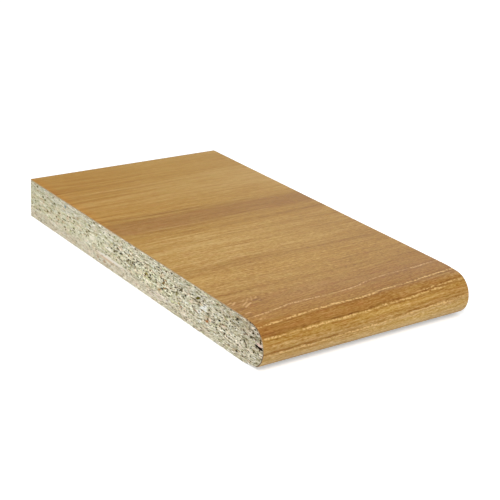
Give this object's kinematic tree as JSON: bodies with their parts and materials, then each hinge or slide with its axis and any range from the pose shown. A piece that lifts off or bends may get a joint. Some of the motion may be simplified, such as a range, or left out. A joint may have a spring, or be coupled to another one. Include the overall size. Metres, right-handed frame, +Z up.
{
  "type": "window sill board",
  "caption": "Short length of window sill board: a flat chipboard panel whose wood-grain laminate covers the top and wraps round the full, rounded nose along the front edge.",
  "frame": {"origin": "middle of the rectangle that the board covers, on its underside (the bounding box's bottom centre)", "axes": "+X along the board, its grain and its nose; the rounded nose faces -Y and the square back edge +Y; +Z up out of the laminated top"},
  "size_m": [0.125, 0.225, 0.022],
  "materials": {
    "chipboard": "bare sawn chipboard, matt, with fine open voids between the chips",
    "wood_grain_laminate": "satin decorative laminate printed with a golden oak grain that runs along the nose"
  },
  "bodies": {
    "root": {"chipboard_core": "chipboard", "laminate_facing": "wood_grain_laminate"}
  },
  "joints": []
}
